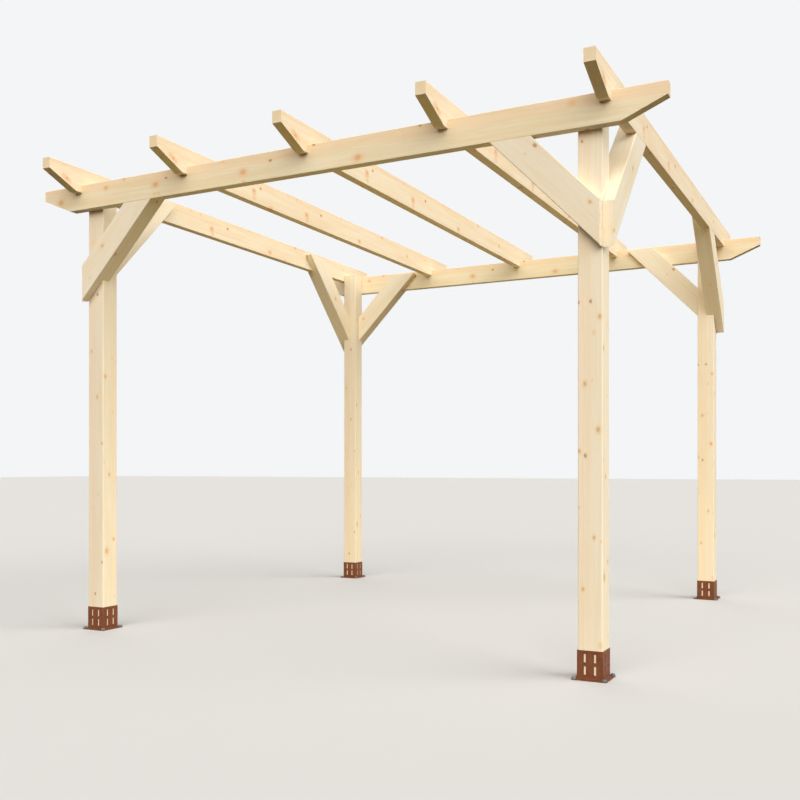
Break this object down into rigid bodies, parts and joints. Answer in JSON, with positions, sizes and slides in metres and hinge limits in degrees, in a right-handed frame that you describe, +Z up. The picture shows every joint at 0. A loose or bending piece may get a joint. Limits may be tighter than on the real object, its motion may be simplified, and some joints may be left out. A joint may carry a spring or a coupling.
{
  "type": "wooden pergola",
  "caption": "Square open garden pergola: square posts in bolt-down steel shoes carry two beams and notched rafters with shaped tails, stiffened by half-lapped corner braces.",
  "frame": {"origin": "centre of the footprint, on the ground under the base plates", "axes": "+Z up, +X along the two beams to the right seen from the front, +Y along the rafters to the back"},
  "size_m": [3.071, 3.071, 2.26],
  "materials": {
    "timber": "planed untreated spruce",
    "shoe_steel": "red-brown powder coat"
  },
  "bodies": {
    "root": {"rafter_1": "timber", "rafter_2": "timber", "rafter_3": "timber", "rafter_4": "timber", "rafter_5": "timber", "beam_front": "timber", "beam_back": "timber", "post_front_left": "timber", "beam_brace_front_left": "timber", "rafter_brace_front_left": "timber", "shoe_plate_front_left": "shoe_steel", "shoe_sleeve_front_left": "shoe_steel", "post_front_right": "timber", "beam_brace_front_right": "timber", "rafter_brace_front_right": "timber", "shoe_plate_front_right": "shoe_steel", "shoe_sleeve_front_right": "shoe_steel", "post_back_left": "timber", "beam_brace_back_left": "timber", "rafter_brace_back_left": "timber", "shoe_plate_back_left": "shoe_steel", "shoe_sleeve_back_left": "shoe_steel", "post_back_right": "timber", "beam_brace_back_right": "timber", "rafter_brace_back_right": "timber", "shoe_plate_back_right": "shoe_steel", "shoe_sleeve_back_right": "shoe_steel"}
  },
  "joints": []
}
